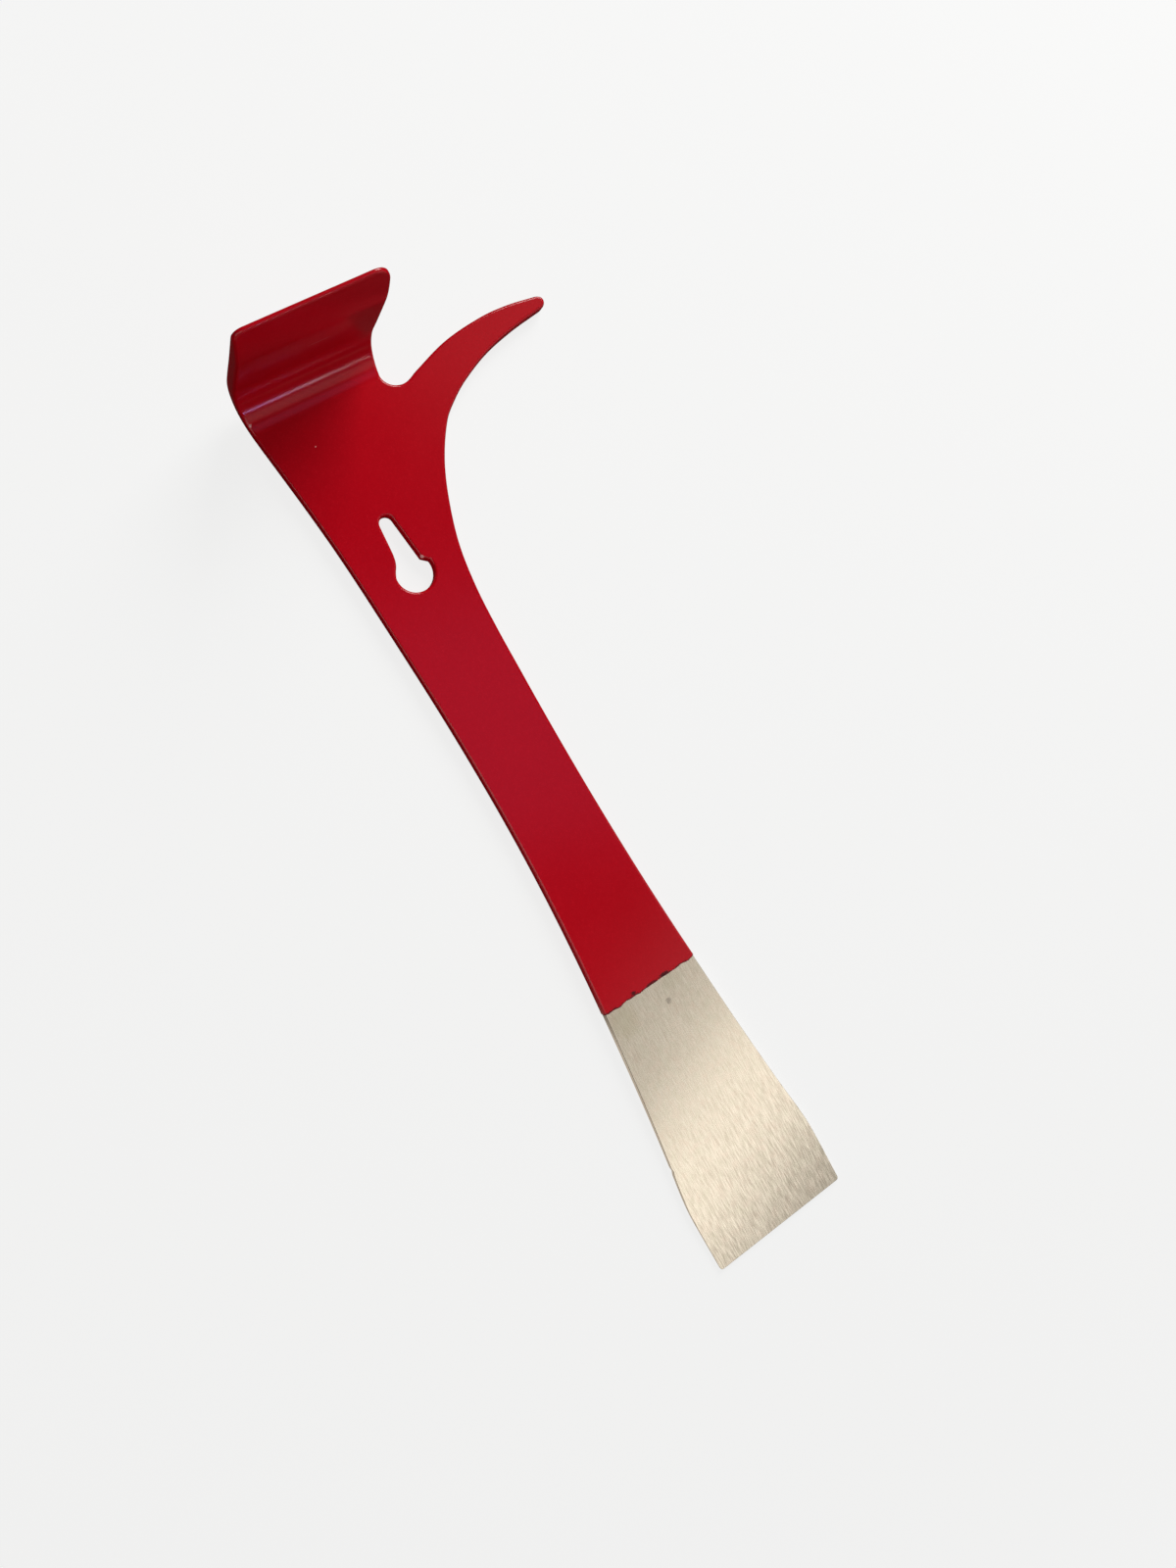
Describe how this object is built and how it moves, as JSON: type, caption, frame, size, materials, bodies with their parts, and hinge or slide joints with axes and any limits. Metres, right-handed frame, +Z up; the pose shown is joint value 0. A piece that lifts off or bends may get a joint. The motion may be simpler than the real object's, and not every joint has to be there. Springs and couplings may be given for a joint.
{
  "type": "hive tool",
  "caption": "Flat steel pry and scraper tool with an upturned hook, a curved side claw, a keyhole nail puller and a bare ground blade.",
  "frame": {"origin": "on the resting plane under the grip, on the bar's centreline, at the middle of the overall length", "axes": "+Y along the bar from the blade to the hook, +X towards the side claw, +Z up from the flat back, the way the hook is bent"},
  "size_m": [0.0875, 0.2666, 0.0393],
  "materials": {
    "bare_steel": "lengthwise brushed and bare, slightly warm grey, roughness about 0.35",
    "red_coating": "semi-gloss deep red coating with fine orange peel and a hand-masked, slightly ragged end"
  },
  "bodies": {
    "root": {"steel_bar": "bare_steel", "red_coating": "red_coating"}
  },
  "joints": []
}
